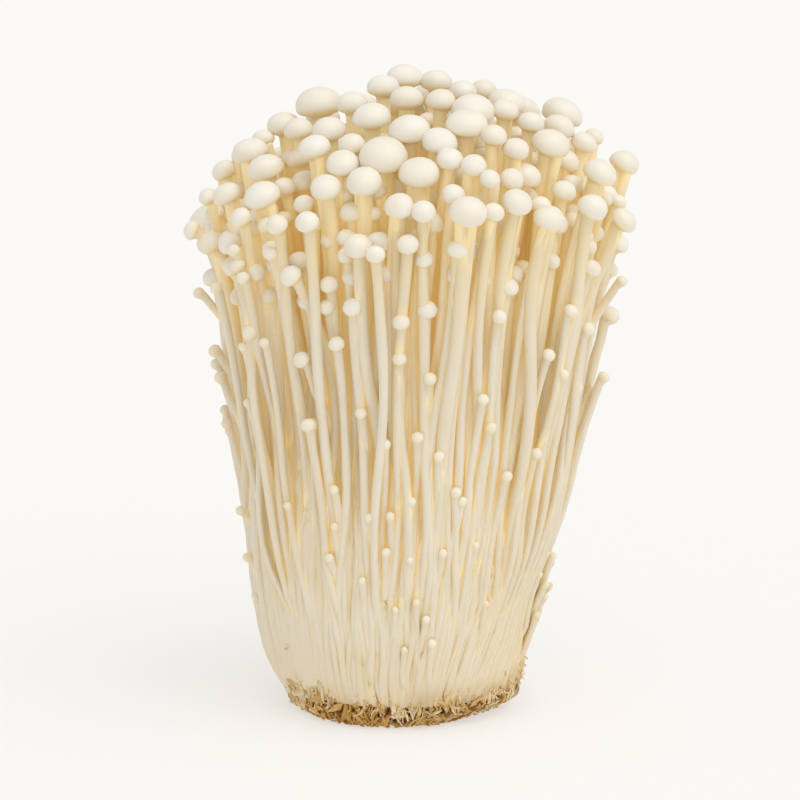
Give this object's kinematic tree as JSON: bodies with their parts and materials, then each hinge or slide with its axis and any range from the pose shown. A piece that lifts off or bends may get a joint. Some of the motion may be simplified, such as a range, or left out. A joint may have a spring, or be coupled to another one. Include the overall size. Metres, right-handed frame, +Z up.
{
  "type": "enoki mushroom bunch",
  "caption": "Upright bunch of slender cream enoki mushrooms with small domed caps, fused at the foot and cut with its crust of growing medium.",
  "frame": {"origin": "on the flat underside of the crust of growing medium, under the middle of the bunch", "axes": "+Z up along the stems, -Y towards the side that the picture shows, +X to its right"},
  "size_m": [0.1022, 0.0946, 0.1477],
  "materials": {
    "mushroom_flesh": "satin",
    "growing_medium": "matte"
  },
  "bodies": {
    "root": {"mushroom_cluster": "mushroom_flesh", "substrate_crust": "growing_medium"}
  },
  "joints": []
}
